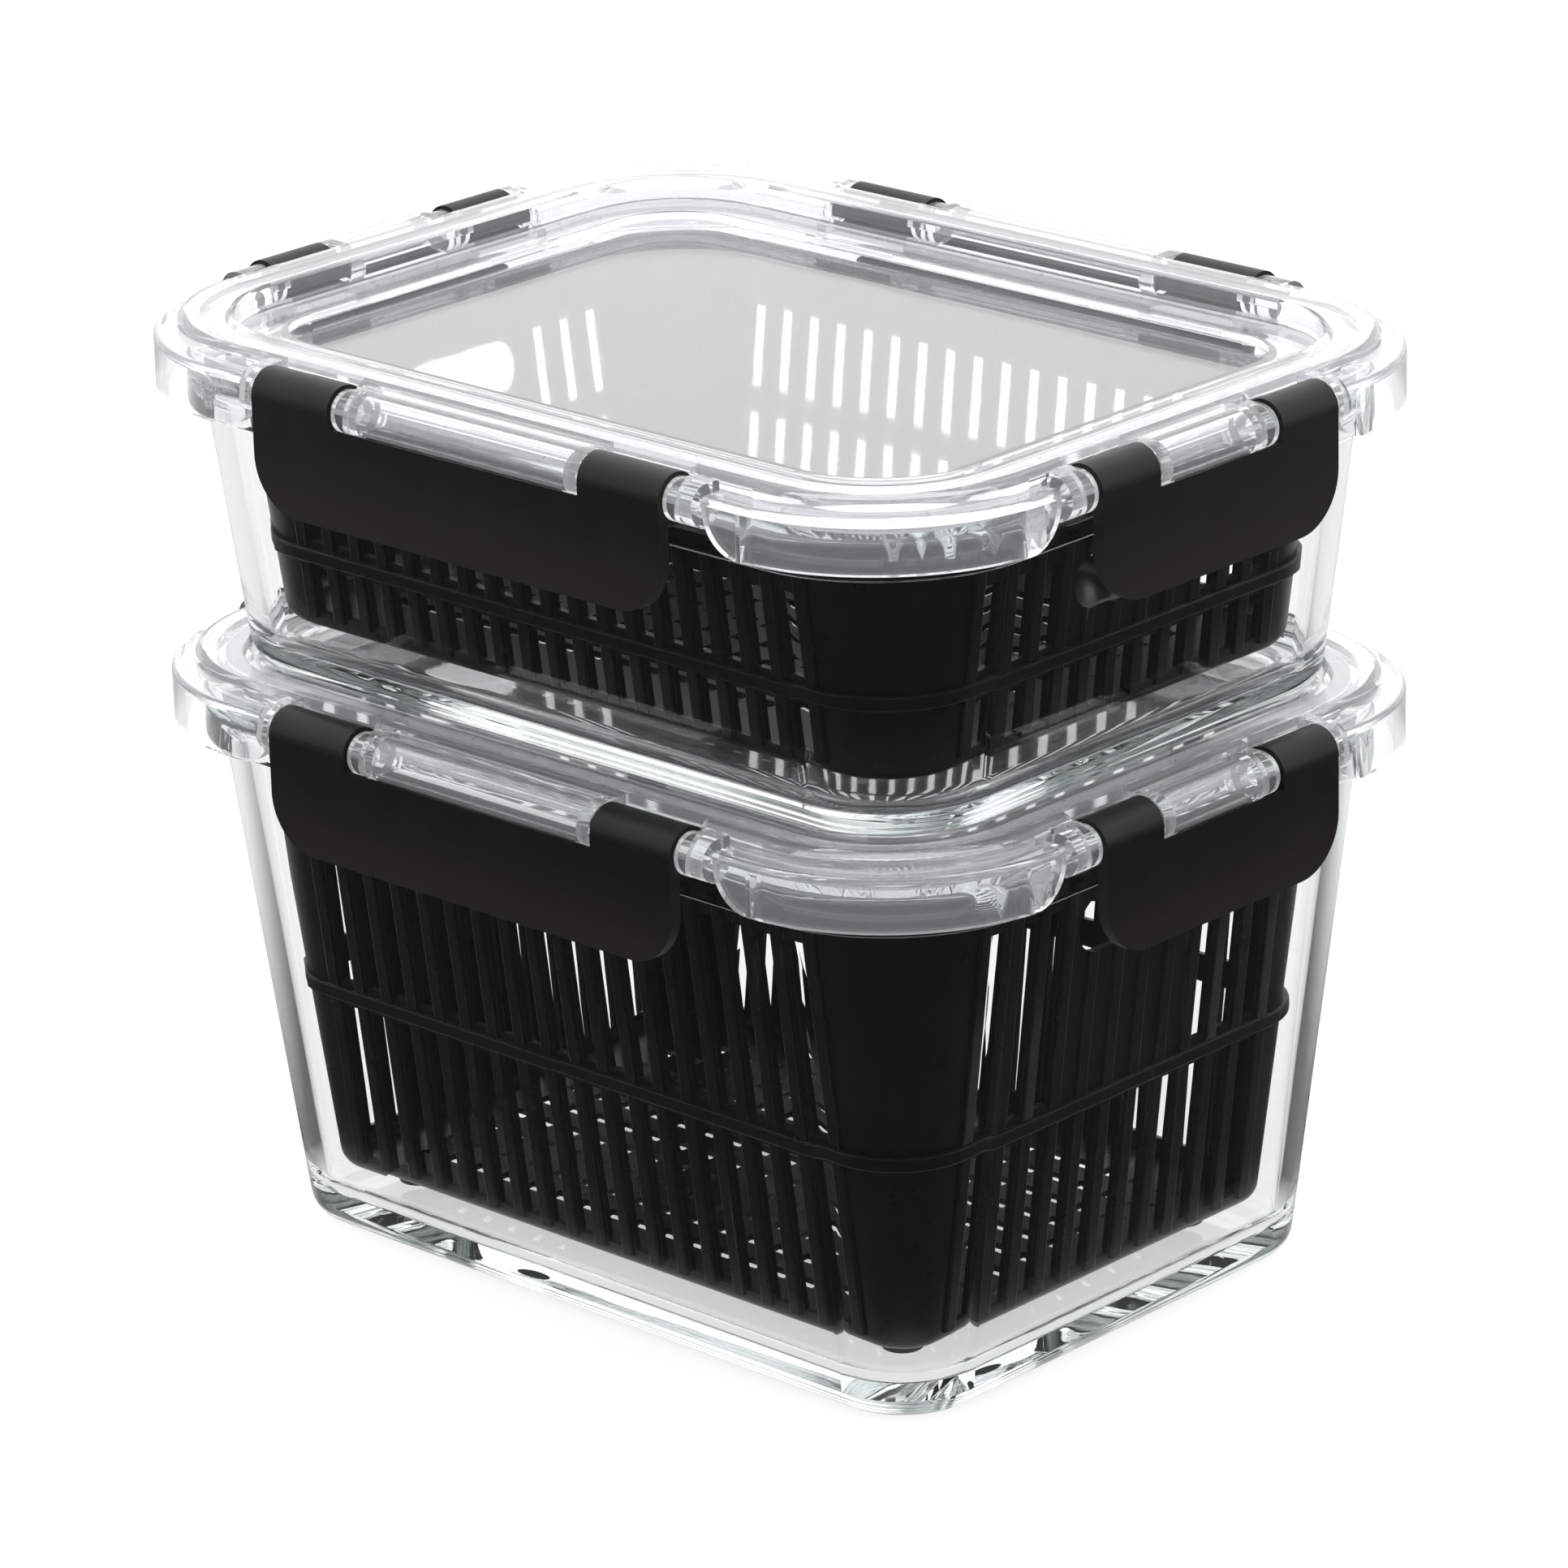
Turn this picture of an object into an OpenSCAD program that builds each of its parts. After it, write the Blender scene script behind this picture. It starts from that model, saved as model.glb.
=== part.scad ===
// Fridge bin: a shallow glass box with a strainer basket, stacked on a deep one.
// Each box is a glass dish, a black basket inside it, a clear lid with a soft seal, and four snap latches.
// Millimetres. X runs along the long side, Y along the short side, Z up. The origin is under the
// middle of the deep dish's base.

/* [Set] */
// Length across the lid's corner skirts
set_len = 205.6; // [195:0.2:230]
// Width across the lid's corner skirts
set_wid = 158.4; // [150:0.2:180]
// Height of the deep dish
deep_h = 105.5; // [90:0.5:130]
// Height of the shallow dish
shallow_h = 59.7; // [52:0.1:70]

/* [Dish] */
// Outward lean of the dish walls, in mm per mm of height
lean = 0.128; // [0.1:0.002:0.13]
// Thickness of the glass walls
glass_t = 3.8; // [3:0.1:4]
// Thickness of the glass base
base_t = 6; // [5:0.1:7]
// Height of the flange round the rim
flange_h = 7.5; // [6:0.1:8]

/* [Lid] */
// Height of the lid's ring above the rim of the dish
ring_rise = 8.8; // [8.4:0.1:9.4]
// Width of the ring's flat top
ring_w = 10.3; // [9.5:0.1:10.8]
// Depth of the shelf that a dish stacks on, below the ring
shelf_drop = 4.2; // [3.8:0.1:4.6]
// Depth of the middle panel, below the shelf
panel_drop = 3.2; // [2.8:0.1:3.8]
// Thickness of the lid's clear plastic
lid_t = 2; // [1.6:0.1:2.2]
// Depth of the corner skirts
skirt_h = 10.1; // [9.5:0.1:12]

/* [Latches] */
// Width of the latches on the long sides
long_latch_w = 100.8; // [90:0.2:104]
// Gap between the ears of a long-side latch
long_gap = 62; // [54:0.5:66]
// Width of the latches on the short sides
short_latch_w = 63; // [58:0.2:66]
// Gap between the ears of a short-side latch
short_gap = 32.8; // [28:0.2:36]
// Thickness of the flap
flap_t = 2.3; // [2:0.1:2.6]
// Radius of the flap's lower corners
flap_r = 10.5; // [8:0.5:12]
// Radius of the rolled ear
ear_r = 4.7; // [4.5:0.1:4.8]
// Radius of the hinge pins
pin_r = 2.1; // [1.9:0.05:2.2]

/* [Basket] */
// Thickness of the basket's walls
basket_t = 1.2; // [1:0.1:1.6]
// Spacing of the slots on the long sides
long_pitch = 7; // [6.8:0.05:7.2]
// Spacing of the slots on the short sides
short_pitch = 7.2; // [7:0.05:7.4]
// Width of a slot
slot_w = 3.2; // [2.8:0.1:3.4]
// Length of a finger hole
grip_len = 30; // [26:0.5:32]

/* [Hidden] */
$fn = 64;
eps = 0.01;
// Every wall runs round one rounded rectangle, at its own distance from the line joining the corner centres.
skirt_r = 37.6;                       // outside of the lid's skirts
cx = set_len/2 - skirt_r;             // corner centres
cy = set_wid/2 - skirt_r;
flange_r = 32;                        // outside of the dish's flange
neck_r = 28.6;                        // dish wall, just under its flange
ring_r = 33.1;                        // outside of the lid's ring
channel_r = 29.2;                     // outside of the seal's channel
channel_in = 27.6;
plug_t = 1.5;                         // wall that drops inside the rim
recess_r = ring_r - ring_w;           // inside of the ring
panel_r = 12.9;                       // edge of the middle panel
seal_gap = 0.1;
seal_top = 3.7;                       // roof of the seal's channel, above the rim
ear_cut = 31.2;                       // how far the ring is cut back for the ears
axis_r = 36.2;                        // hinge axis, out from the corner line
axis_h = 3.8;                         // hinge axis, above the rim
side_gap = 0.35;                      // beside each ear
cheek_t = 2.6;
stub_r = 4;
stub_len = 5;
bore_r = pin_r + 0.06;
flap_drop = 21.1;                     // bottom of the flap, below the axis
hook_reach = 5;
hook_top = 11.7;                      // top of the hook, below the axis
stack_h = deep_h + ring_rise - shelf_drop;   // base of the shallow dish
tilt = atan(lean);
basket_off = 9.2;                     // basket's wall, in from the outside of the dish
basket_z = 10.5;                      // underside of the basket's floor, above the dish's base
basket_gap = 3;                       // basket's rim, below the dish's rim
flute_h = 0.7;
clear_c = [0.93, 0.95, 0.96, 0.45];
glass_c = [0.82, 0.90, 0.88, 0.45];
black_c = [0.09, 0.09, 0.09];
seal_c = [0.90, 0.91, 0.92, 0.8];

// Half length of the side that faces along side k: 0 right, 1 back, 2 left, 3 front
function out(k) = k % 2 == 0 ? cx : cy;
function along(k) = k % 2 == 0 ? cy : cx;
function base_r(h) = neck_r - lean*(h - flange_h);
function basket_r(h, z) = base_r(h) - basket_off + lean*z;

// Carries a profile (x outward from the corner line, y up) round the four straight sides and corners
module around() {
    for (k = [0:3]) rotate([0, 0, 90*k]) {
        translate([out(k), along(k), 0]) rotate([90, 0, 0]) linear_extrude(2*along(k)) children();
        translate([out(k), along(k), 0]) rotate_extrude(angle = 90) children();
    }
}

module core(z0, z1) {
    translate([-cx, -cy, z0]) cube([2*cx, 2*cy, z1 - z0]);
}

module soft_rect(x0, y0, x1, y1, r) {
    translate([x0 + r, y0]) square([x1 - x0 - 2*r, y1 - y0]);
    translate([x0, y0 + r]) square([x1 - x0, y1 - y0 - 2*r]);
    for (x = [x0 + r, x1 - r], y = [y0 + r, y1 - r]) translate([x, y]) circle(r);
}

// Solid of half a vessel: flat bottom at z0, leaning wall, bottom edge rounded to e
module vessel(r0, z0, z1, e) {
    xc = r0 + lean*e - e/cos(tilt);
    polygon([[0, z0], [xc, z0], [xc + e*cos(tilt), z0 + e - e*sin(tilt)],
             [r0 + lean*(z1 - z0), z1], [0, z1]]);
    translate([xc, z0 + e]) circle(e);
}

module dish(h, edge) {
    r0 = base_r(h);
    around() difference() {
        union() {
            vessel(r0, 0, h - flange_h + 0.5, edge);
            soft_rect(neck_r - 3, h - flange_h, flange_r, h, 1.5);
            translate([0, h - flange_h + 0.4]) square([neck_r, flange_h - 1.9]);
        }
        translate([0, base_t]) vessel(r0 - glass_t + lean*base_t, 0, h, 6);
    }
    core(0, base_t);
}

// A row of shapes along side k, standing on the leaning wall of a basket at height z
module on_wall(h, z, k, n, pitch, proud = 0) {
    rotate([0, 0, 90*k]) translate([out(k) + basket_r(h, z), 0, z]) rotate([0, tilt, 0])
        for (i = [0:n - 1]) translate([proud, pitch*(i - (n - 1)/2), 0]) children();
}

module slot_row(h, z0, z1, k, n, pitch, skip = 0) {
    len = (z1 - z0)/cos(tilt);
    rotate([0, 0, 90*k]) translate([out(k) + basket_r(h, z0), 0, z0]) rotate([0, tilt, 0])
        for (i = [0:n - 1]) if (abs(i - (n - 1)/2) >= skip)
            translate([-4, pitch*(i - (n - 1)/2) - slot_w/2, 0]) cube([8, slot_w, len]);
}

module basket(h, band_z) {
    top = h - basket_gap;
    low = basket_z + 4;               // bottom of the lower slots
    high = top - 12;                  // top of the upper slots
    n_long = 2*floor((cx - 2)/long_pitch) ;
    n_short = 2*floor((cy - 4)/short_pitch) + 1;
    wall = top - basket_z;
    difference() {
        union() {
            around() {
                difference() {
                    translate([0, basket_z]) vessel(basket_r(h, basket_z), 0, wall, 3.5);
                    translate([0, basket_z + basket_t])
                        vessel(basket_r(h, basket_z + basket_t) - basket_t, 0, wall, 2.5);
                }
                soft_rect(basket_r(h, top) - basket_t, top - 2.4, basket_r(h, top) + 1.2, top, 0.6);
                soft_rect(basket_r(h, band_z) - 0.8, band_z - 1.4,
                          basket_r(h, band_z) + flute_h + 0.7, band_z + 1.4, 0.6);
            }
            core(basket_z, basket_z + basket_t);
            for (k = [0:3]) {
                n = (k % 2 == 0 ? n_short : n_long) + 1;
                p = k % 2 == 0 ? short_pitch : long_pitch;
                on_wall(h, basket_z + 3, k, n, p) linear_extrude((high - basket_z + 1)/cos(tilt))
                    flute(p - slot_w - 1);
            }
            for (sx = [-1, 1], sy = [-1, 1])
                translate([sx*(cx - 4), sy*(cy - 4), base_t]) cylinder(h = basket_z - base_t + 0.5, r = 4);
        }
        for (k = [0:3]) {
            n = k % 2 == 0 ? n_short : n_long;
            p = k % 2 == 0 ? short_pitch : long_pitch;
            slot_row(h, low, band_z - 2.6, k, n, p);
            slot_row(h, band_z + 2.6, high, k, n, p, k % 2 == 0 ? 2.5 : 0);
        }
        for (k = [0, 2]) grip_hole(h, high - 5.6, k);
        floor_holes(h);
    }
}

module flute(w) {
    translate([-0.5, -w/2]) square([flute_h + 0.5 - 0.5, w]);
    translate([-0.5, -w/2 + 0.5]) square([flute_h + 0.5, w - 1]);
    for (s = [-1, 1]) translate([flute_h - 0.5, s*(w/2 - 0.5)]) circle(0.5);
}

module grip_hole(h, z, k) {
    r = 5.6;
    rotate([0, 0, 90*k]) translate([out(k) + basket_r(h, z), 0, z]) rotate([0, 90, 0])
        translate([0, 0, -5]) linear_extrude(10) {
            square([2*r, grip_len - 2*r], center = true);
            for (s = [-1, 1]) translate([0, s*(grip_len/2 - r)]) circle(r);
        }
}

module floor_holes(h) {
    hx = 4.4;
    hy = 3.2;
    nx = 2*floor(cx/long_pitch);
    ny = 2*floor(cy/8);
    translate([0, 0, basket_z - 3]) linear_extrude(6)
        for (i = [0:nx - 1], j = [0:ny - 1])
            translate([long_pitch*(i - (nx - 1)/2) - hx/2, 8*(j - (ny - 1)/2) - hy/2]) square([hx, hy]);
}

// Heights in the lid and latch modules are measured from the rim of the dish under it
module lid() {
    shelf = ring_rise - shelf_drop;
    panel = shelf - panel_drop;
    draft = 0.5;
    difference() {
        union() {
            around() {
                // ring, its inner wall, the shelf and the step down to the panel
                polygon([[recess_r - draft, shelf - lid_t], [recess_r - draft, -2], [recess_r + 1, -2],
                         [recess_r + plug_t, -1.5], [recess_r + plug_t, ring_rise - 2.2],
                         [ring_r - 1, ring_rise - 2.2], [ring_r - 1, ring_rise - 0.8],
                         [ring_r - 1.8, ring_rise], [recess_r + 0.6, ring_rise], [recess_r, ring_rise - 0.6],
                         [recess_r - draft, shelf], [panel_r, shelf], [panel_r - draft, panel],
                         [0, panel], [0, panel - lid_t], [panel_r + lid_t - draft, panel - lid_t],
                         [panel_r + lid_t - draft, shelf - lid_t]]);
                translate([channel_in, 1.2]) square([channel_r - channel_in, ring_rise - 2.4]);
                translate([recess_r + plug_t - 0.3, seal_top])
                    square([channel_in - recess_r - plug_t + 0.6, ring_rise - 1.2 - seal_top]);
                // outer lip of the ring
                polygon([[ring_r - 1.8, ring_rise], [ring_r - 0.7, ring_rise - 0.3], [ring_r, ring_rise - 1],
                         [ring_r, ring_rise - 4.8], [ring_r - 1.8, ring_rise - 4.8]]);
            }
            core(panel - lid_t, panel);
            corner_skirts();
            for (k = [0:3]) hinge_frame(k) hinge_mount(k);
        }
        for (k = [0:3]) hinge_frame(k) ear_recess(gap_of(k), width_of(k));
    }
    for (k = [0:3]) hinge_frame(k) pins(gap_of(k), width_of(k));
}

function gap_of(k) = k % 2 == 0 ? short_gap : long_gap;
function width_of(k) = k % 2 == 0 ? short_latch_w : long_latch_w;
// The round shoulder stands at the +X end of each ear on the long sides, and at the -Y end on the short ones
function stub_side(k) = k == 0 || k == 1 ? -1 : 1;

// Puts a shape made at a hinge axis (x along the pin, -y outward, z up) on side k of the lid
module hinge_frame(k) {
    rotate([0, 0, 90*k + 90]) translate([0, -out(k) - axis_r, axis_h]) children();
}

module corner_skirts() {
    flange = ring_rise - 3;
    difference() {
        around() {
            translate([ring_r - 1, flange - lid_t]) square([skirt_r - ring_r, lid_t]);
            translate([skirt_r - lid_t, flange - skirt_h]) square([lid_t, skirt_h - 1]);
            translate([skirt_r - 1, flange - 1]) circle(1);
            translate([skirt_r - lid_t, flange - lid_t]) square([lid_t - 1, lid_t]);
        }
        for (k = [0:3]) hinge_frame(k) skirt_gap(width_of(k)/2, stub_side(k), flange);
    }
}

// Takes the skirt away between two corners, with its lower ends rounded
module skirt_gap(half, s, flange) {
    r = 8;
    near = half + side_gap + cheek_t + 0.4;
    far = half + side_gap + stub_len + 1.6;
    z0 = flange - skirt_h - axis_h;
    a = s > 0 ? -near : -far;
    b = s > 0 ? far : near;
    translate([0, 4.1, 0]) rotate([90, 0, 0]) linear_extrude(9) {
        translate([a, z0 - 1]) square([b - a, skirt_h + 2]);
        for (e = [[a, -1], [b, 1]]) difference() {
            translate([e[0] + (e[1] > 0 ? -eps : -r), z0 - 1]) square([r + eps, r + 1]);
            translate([e[0] + e[1]*r, z0 + r]) circle(r);
        }
    }
}

module along_x(x0, x1) {
    translate([x0, 0, 0]) rotate([90, 0, 90]) linear_extrude(x1 - x0) children();
}

// Between the ears: a round-fronted hollow block, and beside each ear a cheek or a shoulder
module hinge_mount(k) {
    half = width_of(k)/2;
    gap = gap_of(k)/2 - side_gap;
    s = stub_side(k);
    deck = axis_r - ring_r + 1.5;
    // hollow block, its closed cheek on one end and its shoulder on the other
    a = s > 0 ? -gap + stub_len : -gap + cheek_t;
    b = s > 0 ? gap - cheek_t : gap - stub_len;
    along_x(a, b) block_profile(deck);
    for (x = [a, b - 1.2]) along_x(x, x + 1.2) cheek_profile(deck);
    along_x(s > 0 ? gap - cheek_t : -gap, s > 0 ? gap : -gap + cheek_t) cheek_profile(deck);
    shoulder(s > 0 ? -gap : gap - stub_len, deck);
    // outside the ears
    o = half + side_gap;
    along_x(s > 0 ? -o - cheek_t - 0.5 : o, s > 0 ? -o : o + cheek_t + 0.5) cheek_profile(deck);
    shoulder(s > 0 ? o : -o - stub_len - 1.7, deck, 1.7);
}

module block_profile(deck) {
    difference() {
        union() {
            circle(ear_r);
            translate([0, ear_r - 2]) square([deck, 2]);
        }
        circle(ear_r - 1.7);
        translate([-ear_r - 1, -ear_r - 1]) square([2*ear_r + 2, ear_r - 1.2]);
        translate([0, -ear_r - 1]) square([ear_r + 1, 2*ear_r - 1]);
    }
}

module cheek_profile(deck) {
    difference() {
        union() {
            circle(ear_r);
            translate([0, ear_r - 4.5]) square([deck, 4.5]);
        }
        translate([-ear_r - 1, -ear_r - 1]) square([2*ear_r + 2, ear_r - 2]);
    }
}

module shoulder(x, deck, extra = 0) {
    translate([x, 0, 0]) rotate([0, 90, 0]) cylinder(h = stub_len + extra, r = stub_r);
    translate([x + 1.2, 0, stub_r - 2]) cube([stub_len - 1.2 + extra, deck, 2]);
}

module ear_recess(gap, width) {
    for (s = [-1, 1])
        translate([s > 0 ? gap/2 - side_gap : -width/2 - side_gap, -ear_r - 2, -12])
            cube([(width - gap)/2 + 2*side_gap, axis_r - ear_cut + ear_r + 2, 24]);
}

module pins(gap, width) {
    for (s = [-1, 1]) translate([s > 0 ? gap/2 - 1 : -width/2 - 1, 0, 0]) rotate([0, 90, 0])
        cylinder(h = (width - gap)/2 + 2, r = pin_r);
}

module gasket() {
    r0 = recess_r + plug_t + 0.15;
    r1 = channel_in - 0.15;
    around() difference() {
        translate([r0, seal_gap]) square([r1 - r0, seal_top - 0.05 - seal_gap]);
        translate([(r0 + r1)/2, seal_gap]) circle(0.6);
        for (x = [r0, r1]) translate([x, 2]) circle(0.35);
    }
}

// Made at the hinge axis, like the lid's hinge parts
module latch(width, gap) {
    inner = ear_r - flap_t;           // inner face of the flap, out from the axis
    difference() {
        union() {
            difference() {
                along_x(-width/2, width/2) {
                    circle(ear_r);
                    translate([-ear_r, -flap_drop]) square([flap_t, flap_drop]);
                }
                // lower corners
                for (s = [-1, 1]) translate([s*width/2, 0, -flap_drop]) rotate([90, 0, 0])
                    linear_extrude(40, center = true) difference() {
                        translate([s > 0 ? -flap_r : -1, -1]) square([flap_r + 1, flap_r + 1]);
                        translate([-s*flap_r, flap_r]) circle(flap_r);
                    }
            }
            hook(width/2 - flap_r - 1, inner);
        }
        // bore and the mouth it snaps over the pin with
        along_x(-width, width) {
            circle(bore_r);
            rotate(-35) translate([0, -1.65]) square([ear_r + 1, 3.3]);
        }
        // notch for the lid's block
        along_x(-gap/2, gap/2) {
            circle(ear_r + 0.25);
            translate([-ear_r - 1, -2.3]) square([2*ear_r + 2, ear_r + 4]);
        }
    }
}

module hook(half, inner) {
    along_x(-half, half) polygon([[-inner - 0.5, -hook_top - 3.4], [-inner - 0.5, -hook_top],
        [hook_reach - 0.6, -hook_top], [hook_reach, -hook_top - 0.6], [hook_reach, -hook_top - 1.6],
        [hook_reach - 1, -hook_top - 2.2]]);
    for (i = [-2:2]) along_x(i*half/2.4 - 0.7, i*half/2.4 + 0.7)
        polygon([[-inner - 0.5, -flap_drop + 1.5], [-inner - 0.5, -hook_top - 2],
                 [hook_reach - 2, -hook_top - 2], [-inner + 0.8, -flap_drop + 1.5]]);
}

module lower_dish() { color(glass_c) dish(deep_h, 5); }
module lower_basket() { color(black_c) basket(deep_h, 49.5); }
module lower_lid() { color(clear_c) translate([0, 0, deep_h]) lid(); }
module lower_gasket() { color(seal_c) translate([0, 0, deep_h]) gasket(); }
module lower_latch_front() { lower_latch(3); }
module lower_latch_back() { lower_latch(1); }
module lower_latch_right() { lower_latch(0); }
module lower_latch_left() { lower_latch(2); }
module lower_latch(k) {
    color(black_c) translate([0, 0, deep_h]) hinge_frame(k) latch(width_of(k), gap_of(k));
}

module upper_dish() { color(glass_c) translate([0, 0, stack_h]) dish(shallow_h, 8); }
module upper_basket() { color(black_c) translate([0, 0, stack_h]) basket(shallow_h, 26.2); }
module upper_lid() { color(clear_c) translate([0, 0, stack_h + shallow_h]) lid(); }
module upper_gasket() { color(seal_c) translate([0, 0, stack_h + shallow_h]) gasket(); }
module upper_latch_front() { upper_latch(3); }
module upper_latch_back() { upper_latch(1); }
module upper_latch_right() { upper_latch(0); }
module upper_latch_left() { upper_latch(2); }
module upper_latch(k) {
    color(black_c) translate([0, 0, stack_h + shallow_h]) hinge_frame(k) latch(width_of(k), gap_of(k));
}

lower_dish();
lower_basket();
lower_lid();
lower_gasket();
lower_latch_front();
lower_latch_back();
lower_latch_right();
lower_latch_left();
upper_dish();
upper_basket();
upper_lid();
upper_gasket();
upper_latch_front();
upper_latch_back();
upper_latch_right();
upper_latch_left();
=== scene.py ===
import math
import bpy
from mathutils import Matrix, Vector

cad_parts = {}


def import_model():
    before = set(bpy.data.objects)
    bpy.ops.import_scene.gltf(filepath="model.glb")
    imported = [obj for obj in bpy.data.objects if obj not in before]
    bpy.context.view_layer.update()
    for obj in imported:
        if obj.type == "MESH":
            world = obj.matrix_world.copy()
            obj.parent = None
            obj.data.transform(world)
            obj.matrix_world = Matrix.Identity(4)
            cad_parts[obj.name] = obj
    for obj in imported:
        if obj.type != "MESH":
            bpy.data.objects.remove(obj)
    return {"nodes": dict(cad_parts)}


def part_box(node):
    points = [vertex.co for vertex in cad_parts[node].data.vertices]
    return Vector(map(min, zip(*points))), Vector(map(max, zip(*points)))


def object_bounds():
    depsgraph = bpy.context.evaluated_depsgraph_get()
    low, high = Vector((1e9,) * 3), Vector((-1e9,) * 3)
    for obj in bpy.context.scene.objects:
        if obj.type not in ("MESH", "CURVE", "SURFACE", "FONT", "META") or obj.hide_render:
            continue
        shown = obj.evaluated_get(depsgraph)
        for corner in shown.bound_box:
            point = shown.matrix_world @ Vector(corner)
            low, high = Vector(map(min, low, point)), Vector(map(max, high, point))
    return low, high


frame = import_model()
nodes = frame["nodes"]
cad_low, cad_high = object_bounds()
mid = (cad_low + cad_high) / 2

# ---------------------------------------------------------------- camera
AZIMUTH = math.radians(43.597)
ELEVATION = math.radians(19.894)
ROLL = math.radians(1.553)
SENSOR = 36                                         # mm, square
LENS = 173.26                                       # mm
DISTANCE = 1.3917                                   # m, from the aim point
AIM_SHIFT = Vector((0.00373, -0.00436, 0.0012))     # m, aim point from the middle of the object
BEHIND = (-math.sin(AZIMUTH), math.cos(AZIMUTH), 0)   # level, away from the photograph's viewpoint


def camera():
    right = Vector((math.cos(AZIMUTH), math.sin(AZIMUTH), 0))
    up = Vector((-math.sin(ELEVATION) * math.sin(AZIMUTH),
                 math.sin(ELEVATION) * math.cos(AZIMUTH), math.cos(ELEVATION)))
    away = Vector((math.cos(ELEVATION) * math.sin(AZIMUTH),
                   -math.cos(ELEVATION) * math.cos(AZIMUTH), math.sin(ELEVATION)))
    x = right * math.cos(ROLL) - up * math.sin(ROLL)
    y = right * math.sin(ROLL) + up * math.cos(ROLL)
    turn = Matrix((x, y, away)).transposed().to_4x4()
    data = bpy.data.cameras.new("camera")
    data.lens = LENS
    data.sensor_width = SENSOR
    data.sensor_fit = "HORIZONTAL"
    data.clip_start = 0.05
    data.clip_end = 60
    cam = bpy.data.objects.new("camera", data)
    cam.matrix_world = Matrix.Translation(mid + AIM_SHIFT + away * DISTANCE) @ turn
    bpy.context.scene.collection.objects.link(cam)
    bpy.context.scene.camera = cam


# ---------------------------------------------------------------- node helpers
class Mat:
    """A material with short ways to add and join nodes."""

    def __init__(self, name):
        self.m = bpy.data.materials.new(name)
        self.m.use_nodes = True
        self.t = self.m.node_tree
        self.t.nodes.clear()
        self.out = self.add("ShaderNodeOutputMaterial")
        self.pos = self.add("ShaderNodeTexCoord").outputs["Object"]

    def add(self, kind, **values):
        n = self.t.nodes.new(kind)
        for k, v in values.items():
            if hasattr(n, k):
                setattr(n, k, v)
            else:
                n.inputs[k.replace("_", " ")].default_value = v
        return n

    def link(self, a, b):
        self.t.links.new(a, b)

    def noise(self, scale, detail=3, rough=0.5):
        n = self.add("ShaderNodeTexNoise", Scale=scale, Detail=detail, Roughness=rough)
        self.link(self.pos, n.inputs["Vector"])
        return n.outputs["Fac"]

    def span(self, value, low, high, start=0.3, end=0.7):
        """value from start to end, as low to high."""
        n = self.add("ShaderNodeMapRange")
        for k, v in (("From Min", start), ("From Max", end), ("To Min", low), ("To Max", high)):
            n.inputs[k].default_value = v
        self.link(value, n.inputs["Value"])
        return n.outputs["Result"]

    def ramp(self, value, low, high):
        """One colour where value is under 0.3, another where it is over 0.7."""
        n = self.add("ShaderNodeValToRGB")
        for stop, at, colour in zip(n.color_ramp.elements, (0.3, 0.7), (low, high)):
            stop.position = at
            stop.color = (*colour, 1)
        self.link(value, n.inputs["Fac"])
        return n.outputs["Color"]

    def bump(self, *layers):
        """layers are (height, strength, distance in metres); returns the last normal."""
        normal = None
        for height, strength, distance in layers:
            n = self.add("ShaderNodeBump", Strength=strength, Distance=distance)
            self.link(height, n.inputs["Height"])
            if normal:
                self.link(normal, n.inputs["Normal"])
            normal = n.outputs["Normal"]
        return normal


def black_plastic(name, tone, ior, low, high, grain, grain_scale, painted_foot_reflection=None):
    """Moulded black plastic with a faint cloudy tone, roughness from low to high, and a fine grain.
    The last argument is a painted reflection: a lighter, warmer colour blended in towards the foot of the piece.
    """
    k = Mat(name)
    p = k.add("ShaderNodeBsdfPrincipled")
    p.inputs["IOR"].default_value = ior
    cloud = k.noise(60, 4, 0.6)
    fine = k.noise(grain_scale, 2, 0.6)
    colour = k.ramp(cloud, [c * 0.82 for c in tone], [c * 1.2 for c in tone])
    # painted reflection: the base colour turns lighter and warmer towards the foot of the piece
    if painted_foot_reflection:
        split = k.add("ShaderNodeSeparateXYZ")
        k.link(k.add("ShaderNodeTexCoord").outputs["Generated"], split.inputs[0])
        mix = k.add("ShaderNodeMix", data_type="RGBA")
        k.link(k.span(split.outputs["Z"], 1, 0, 0.05, 0.62), mix.inputs[0])
        k.link(colour, mix.inputs[6])
        mix.inputs[7].default_value = (*painted_foot_reflection, 1)
        colour = mix.outputs[2]
    k.link(colour, p.inputs["Base Color"])
    k.link(k.span(k.noise(140, 5, 0.65), low, high), p.inputs["Roughness"])
    k.link(k.bump((cloud, 0.02, 0.0004), (fine, grain, 0.00006)), p.inputs["Normal"])
    k.link(p.outputs["BSDF"], k.out.inputs["Surface"])
    return k.m


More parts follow.
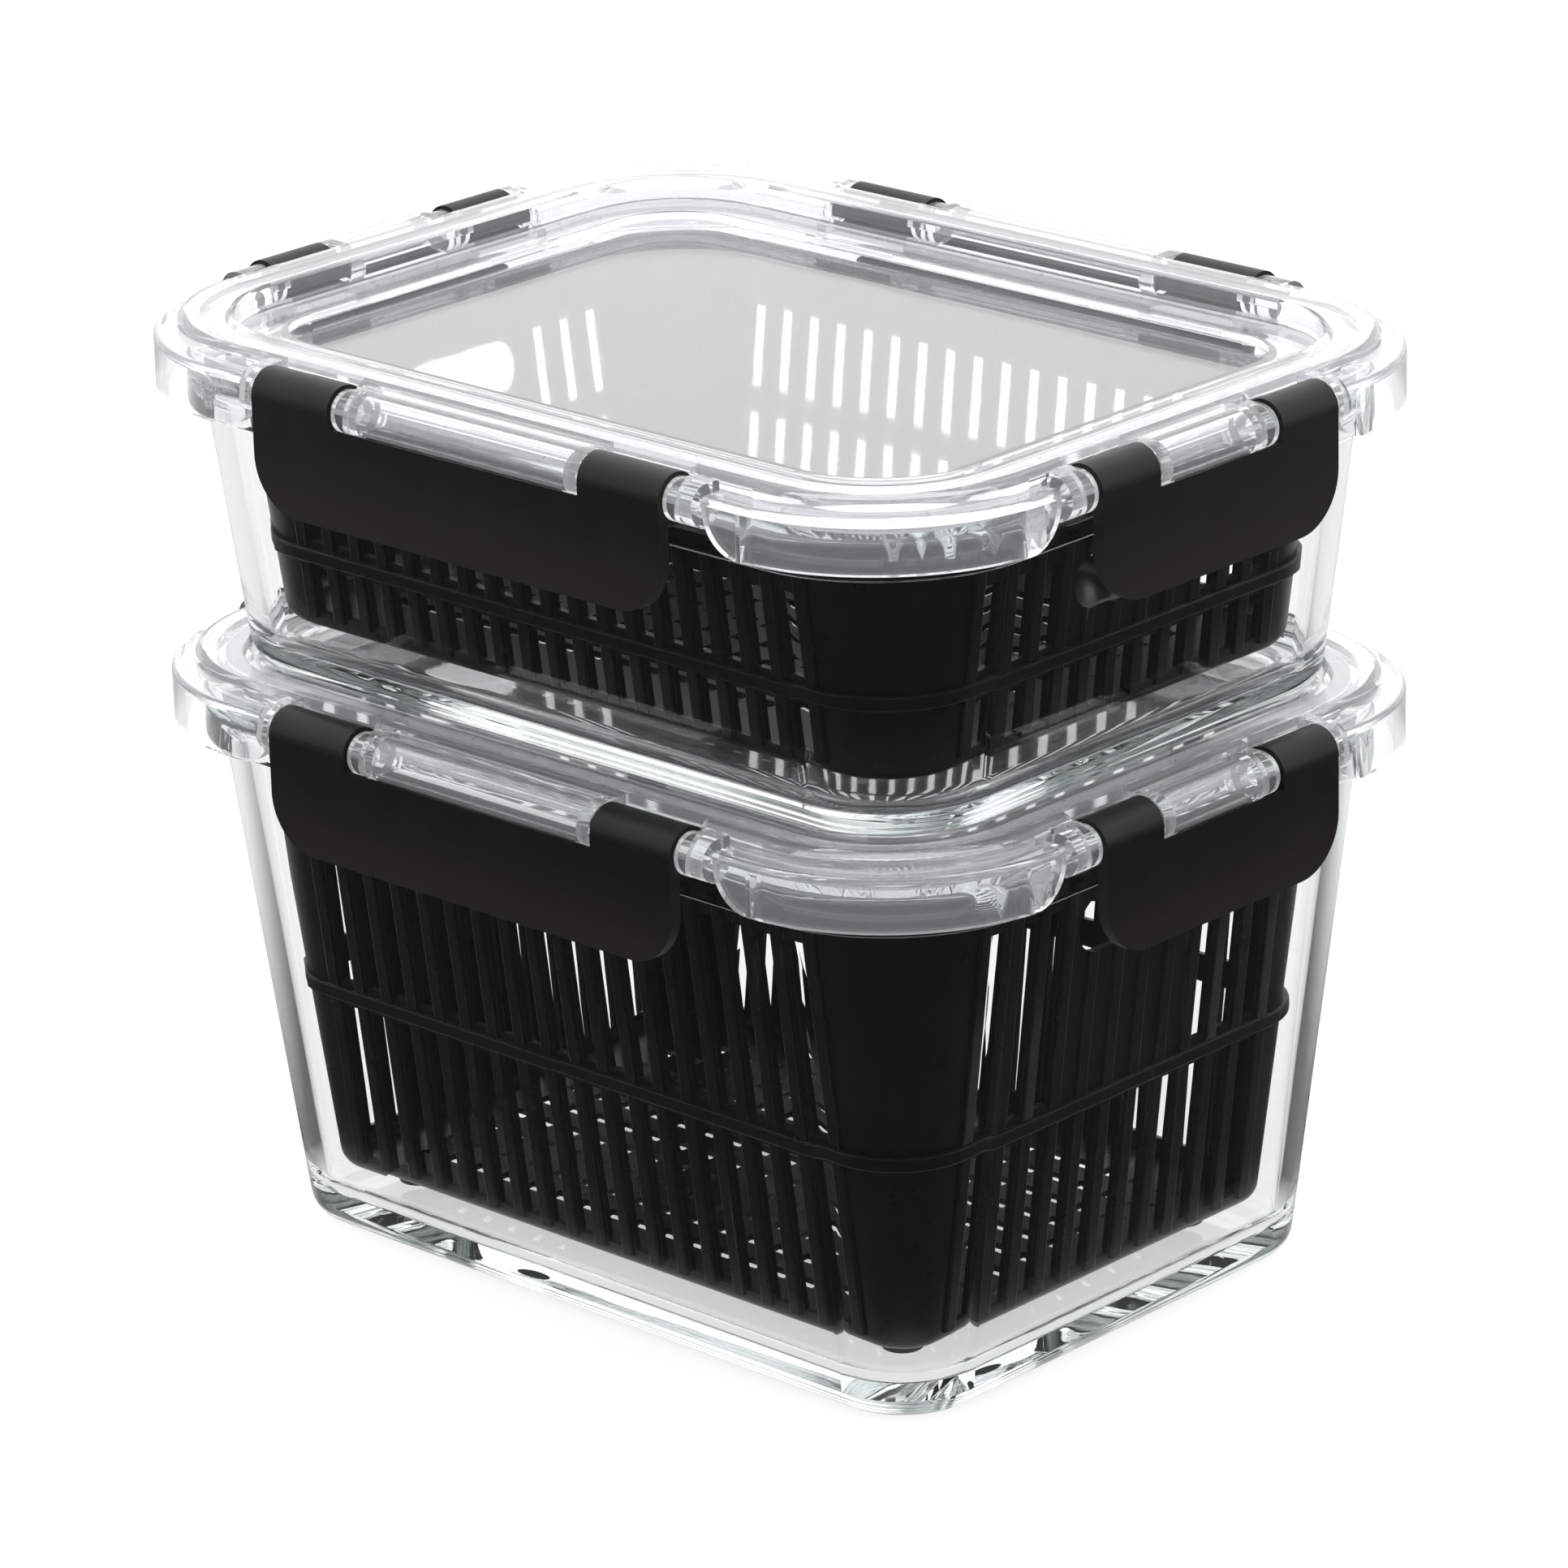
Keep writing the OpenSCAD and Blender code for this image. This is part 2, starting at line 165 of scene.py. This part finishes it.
def clear(name, tint, ior, low, high, wave, wave_scale, absorb, density, haze=0.0):
    """Clear glass or plastic with slow surface waves, roughness from low to high, a tint that grows with depth,
    and some haze. Light for shadows passes straight through it.
    """
    k = Mat(name)
    p = k.add("ShaderNodeBsdfPrincipled")
    p.inputs["IOR"].default_value = ior
    p.inputs["Transmission Weight"].default_value = 1.0
    cloud = k.noise(45, 3, 0.55)
    k.link(k.ramp(cloud, [c * 0.985 for c in tint], tint), p.inputs["Base Color"])
    k.link(k.span(k.noise(220, 3, 0.6), low, high), p.inputs["Roughness"])
    k.link(k.bump((k.noise(wave_scale, 2, 0.4), wave, 0.0006)), p.inputs["Normal"])
    shader = p.outputs["BSDF"]
    if haze:
        d = k.add("ShaderNodeBsdfDiffuse")
        d.inputs["Color"].default_value = (0.88, 0.87, 0.90, 1)
        mix = k.add("ShaderNodeMixShader")
        mix.inputs[0].default_value = haze
        k.link(shader, mix.inputs[1])
        k.link(d.outputs["BSDF"], mix.inputs[2])
        shader = mix.outputs["Shader"]
    through = k.add("ShaderNodeBsdfTransparent")
    through.inputs["Color"].default_value = (*[c * 0.93 for c in tint], 1)
    ray = k.add("ShaderNodeLightPath")
    pick = k.add("ShaderNodeMixShader")
    k.link(ray.outputs["Is Shadow Ray"], pick.inputs[0])
    k.link(shader, pick.inputs[1])
    k.link(through.outputs["BSDF"], pick.inputs[2])
    k.link(pick.outputs["Shader"], k.out.inputs["Surface"])
    v = k.add("ShaderNodeVolumeAbsorption")
    v.inputs["Color"].default_value = (*absorb, 1)
    v.inputs["Density"].default_value = density
    k.link(v.outputs["Volume"], k.out.inputs["Volume"])
    return k.m


def seal_rubber():
    k = Mat("soft_seal")
    p = k.add("ShaderNodeBsdfPrincipled")
    p.inputs["IOR"].default_value = 1.41
    p.inputs["Transmission Weight"].default_value = 0.55
    k.link(k.ramp(k.noise(80), (0.82, 0.83, 0.84), (0.88, 0.89, 0.9)), p.inputs["Base Color"])
    k.link(k.span(k.noise(300, 4), 0.25, 0.4), p.inputs["Roughness"])
    k.link(k.bump((k.noise(900, 2), 0.08, 0.00005)), p.inputs["Normal"])
    k.link(p.outputs["BSDF"], k.out.inputs["Surface"])
    return k.m


# ---------------------------------------------------------------- finishes
FINISH = {
    "dish": clear("clear_glass", (0.985, 0.995, 0.992), ior=1.475, low=0.0, high=0.012, wave=0.10, wave_scale=22,
                  absorb=(0.80, 0.89, 0.87), density=3),
    "lid": clear("clear_lid_plastic", (0.965, 0.972, 0.978), ior=1.52, low=0.015, high=0.05, wave=0.05,
                 wave_scale=60, absorb=(0.86, 0.88, 0.90), density=5, haze=0.06),
    "gasket": seal_rubber(),
    "basket": black_plastic("basket_black", (0.0034, 0.0034, 0.0036), ior=1.27, low=0.26, high=0.34,
                            grain=0.01, grain_scale=1800),
    # the latches' lighter foot colour is a painted reflection
    "latch": black_plastic("latch_black", (0.0046, 0.0043, 0.0041), ior=1.36, low=0.38, high=0.48,
                           grain=0.18, grain_scale=2600, painted_foot_reflection=(0.0125, 0.0112, 0.0098)),
}
WELD = 1e-6             # m, joins the doubled points of the CAD meshes


def finish_nodes():
    """Every CAD node keeps its place and shape, and gets its finish."""
    for name, o in nodes.items():
        for word, m in FINISH.items():
            if word in name:
                o.data.materials.clear()
                o.data.materials.append(m)
        weld = o.modifiers.new("weld", "WELD")
        weld.merge_threshold = WELD


# ---------------------------------------------------------------- light and floor
WHITE = 1.3                             # brightness of the surroundings, seen directly
BACK_LIGHT = (-0.6, 0.25, 0.04, 1.5)    # in one reflection, along BEHIND: from, to, dimmest, brightest
CEILING = (0.45, 0.9, 0.04, 1.1)        # the same, along Z
FLOOR_WHITE = 0.78
FLOOR_GREY = 0.3                        # what shadows fall on
FLOOR_DIM = 0.02                        # in one reflection, away from the object
FLOOR_NEAR = (0.004, 0.022)             # where it fades, in metres from the base
FLOOR_BACK = (0.05, 0.2)                # where it brightens again, in metres behind the middle
FLOOR_HALF = 12.0                       # m, half its side
FLOOR_GAP = 0.0002                      # m, under the object
BASE_INSET = 0.018                      # m, the deep dish's base, in from its rim
INSIDE = 0.045                          # added to what one reflection inside the glass sees
INSIDE_TINT = (0.84, 0.98, 0.93)


def seen_plain(add, link, plain, reflected, kind):
    """reflected for what is seen in one reflection, lighter if the ray also passed into the glass; plain for what
    is seen directly, through glass, or after more reflections than one.
    """
    ray, step, inside, scale = (add("ShaderNode" + n) for n in ("LightPath", "Math", "Math", "Math"))
    step.operation = "COMPARE"
    step.inputs[1].default_value = 1
    step.inputs[2].default_value = 0.5
    link(ray.outputs["Glossy Depth"], step.inputs[0])
    inside.operation = "GREATER_THAN"
    inside.inputs[1].default_value = 0.5
    link(ray.outputs["Transmission Depth"], inside.inputs[0])
    scale.operation = "MULTIPLY"
    scale.inputs[1].default_value = INSIDE
    link(inside.outputs["Value"], scale.inputs[0])
    glow, both, pick = (add("ShaderNode" + n) for n in (kind, "AddShader", "MixShader"))
    glow.inputs["Color"].default_value = (*INSIDE_TINT, 1)
    link(scale.outputs["Value"], glow.inputs["Strength"])
    link(reflected, both.inputs[0])
    link(glow.outputs[0], both.inputs[1])
    link(step.outputs["Value"], pick.inputs[0])
    link(plain, pick.inputs[1])
    link(both.outputs["Shader"], pick.inputs[2])
    return pick.outputs["Shader"]


def world():
    """White all round. In one reflection, a bright back and ceiling, and a dim room in front."""
    w = bpy.data.worlds.new("studio")
    bpy.context.scene.world = w
    w.use_nodes = True
    t = w.node_tree
    t.nodes.clear()
    add, link = t.nodes.new, t.links.new
    way = add("ShaderNodeTexCoord").outputs["Generated"]

    def part(axis, start, end, low, high):
        dot, span = add("ShaderNodeVectorMath"), add("ShaderNodeMapRange")
        dot.operation = "DOT_PRODUCT"
        dot.inputs[1].default_value = axis
        span.interpolation_type = "SMOOTHSTEP"
        for k, v in (("From Min", start), ("From Max", end), ("To Min", low), ("To Max", high)):
            span.inputs[k].default_value = v
        link(way, dot.inputs[0])
        link(dot.outputs["Value"], span.inputs["Value"])
        return span.outputs["Result"]

    most = add("ShaderNodeMath")
    most.operation = "MAXIMUM"
    link(part(BEHIND, *BACK_LIGHT), most.inputs[0])
    link(part((0, 0, 1), *CEILING), most.inputs[1])
    white, room = add("ShaderNodeBackground"), add("ShaderNodeBackground")
    white.inputs["Color"].default_value = (1, 1, 1, 1)
    white.inputs["Strength"].default_value = WHITE
    room.inputs["Color"].default_value = (1, 1, 1, 1)
    link(most.outputs["Value"], room.inputs["Strength"])
    link(seen_plain(add, link, white.outputs["Background"], room.outputs["Background"], "Background"),
         add("ShaderNodeOutputWorld").inputs["Surface"])


def softbox(name, at, target, size, power):
    data = bpy.data.lights.new(name, "AREA")
    data.shape = "RECTANGLE"
    data.size, data.size_y = size
    data.energy = power
    o = bpy.data.objects.new(name, data)
    turn = (Vector(target) - Vector(at)).to_track_quat("-Z", "Y").to_matrix().to_4x4()
    o.matrix_world = Matrix.Translation(at) @ turn
    bpy.context.scene.collection.objects.link(o)


def floor():
    h, z = FLOOR_HALF, cad_low.z - FLOOR_GAP
    mesh = bpy.data.meshes.new("floor")
    mesh.from_pydata([(-h, -h, z), (h, -h, z), (h, h, z), (-h, h, z)], [], [(0, 1, 2, 3)])
    o = bpy.data.objects.new("floor", mesh)
    bpy.context.scene.collection.objects.link(o)
    k = Mat("pale_floor")
    white, dim = k.add("ShaderNodeEmission"), k.add("ShaderNodeEmission")
    white.inputs["Strength"].default_value = FLOOR_WHITE
    lit = k.add("ShaderNodeBsdfDiffuse")
    lit.inputs["Color"].default_value = (FLOOR_GREY, FLOOR_GREY, FLOOR_GREY, 1)
    # distance from the rectangle that the base stands on; the 10 takes height out of it
    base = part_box("lower_dish")[1] - Vector((BASE_INSET, BASE_INSET, 0))
    flat, past, clip = (k.add("ShaderNodeVectorMath", operation=w) for w in ("ABSOLUTE", "SUBTRACT", "MAXIMUM"))
    past.inputs[1].default_value = (base.x, base.y, 10)
    far = k.add("ShaderNodeVectorMath", operation="LENGTH")
    k.link(k.pos, flat.inputs[0])
    k.link(flat.outputs["Vector"], past.inputs[0])
    k.link(past.outputs["Vector"], clip.inputs[0])
    k.link(clip.outputs["Vector"], far.inputs[0])
    behind = k.add("ShaderNodeVectorMath", operation="DOT_PRODUCT")
    behind.inputs[1].default_value = BEHIND
    k.link(k.pos, behind.inputs[0])
    most = k.add("ShaderNodeMath", operation="MAXIMUM")
    k.link(k.span(far.outputs["Value"], FLOOR_WHITE, FLOOR_DIM, *FLOOR_NEAR), most.inputs[0])
    k.link(k.span(behind.outputs["Value"], FLOOR_DIM, FLOOR_WHITE, *FLOOR_BACK), most.inputs[1])
    k.link(most.outputs["Value"], dim.inputs["Strength"])
    both = k.add("ShaderNodeAddShader")
    k.link(white.outputs["Emission"], both.inputs[0])
    k.link(lit.outputs["BSDF"], both.inputs[1])
    k.link(seen_plain(k.t.nodes.new, k.link, both.outputs["Shader"], dim.outputs["Emission"], "Emission"),
           k.out.inputs["Surface"])
    mesh.materials.append(k.m)


camera()
world()
softbox("top", at=(-0.2, 0.3, 1.4), target=mid, size=(1.2, 1.2), power=5)
floor()
finish_nodes()

scene = bpy.context.scene
scene.view_settings.view_transform = "Standard"
# light has to turn many times inside the thick glass, or its base goes black
scene.cycles.max_bounces = 32
scene.cycles.transmission_bounces = 28
scene.cycles.transparent_max_bounces = 24
scene.cycles.glossy_bounces = 28
scene.cycles.sample_clamp_indirect = 6
